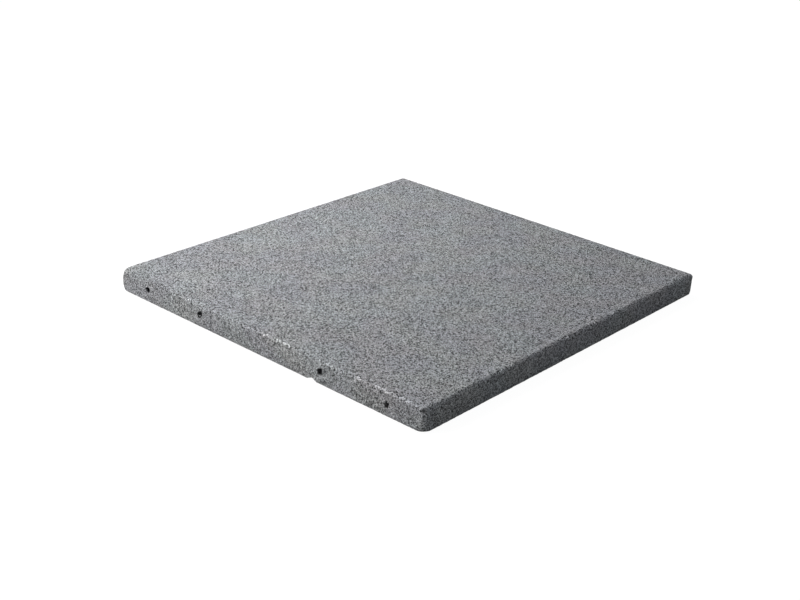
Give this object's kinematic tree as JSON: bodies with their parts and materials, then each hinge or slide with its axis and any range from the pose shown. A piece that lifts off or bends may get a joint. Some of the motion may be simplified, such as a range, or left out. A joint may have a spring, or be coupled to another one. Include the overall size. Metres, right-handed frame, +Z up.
{
  "type": "rubber safety tile",
  "caption": "Square slab of bonded rubber crumb with rounded edges and blind dowel holes in two opposite edge faces.",
  "frame": {"origin": "middle of the underside, on the floor that the tile lies on", "axes": "+Z up out of the walking face; the two faces with dowel holes point along -Y (front) and +Y (back)"},
  "size_m": [0.5, 0.5, 0.03],
  "materials": {
    "rubber_crumb": "matt granular bonded crumb, mid grey"
  },
  "bodies": {
    "root": {"rubber_tile": "rubber_crumb"}
  },
  "joints": []
}
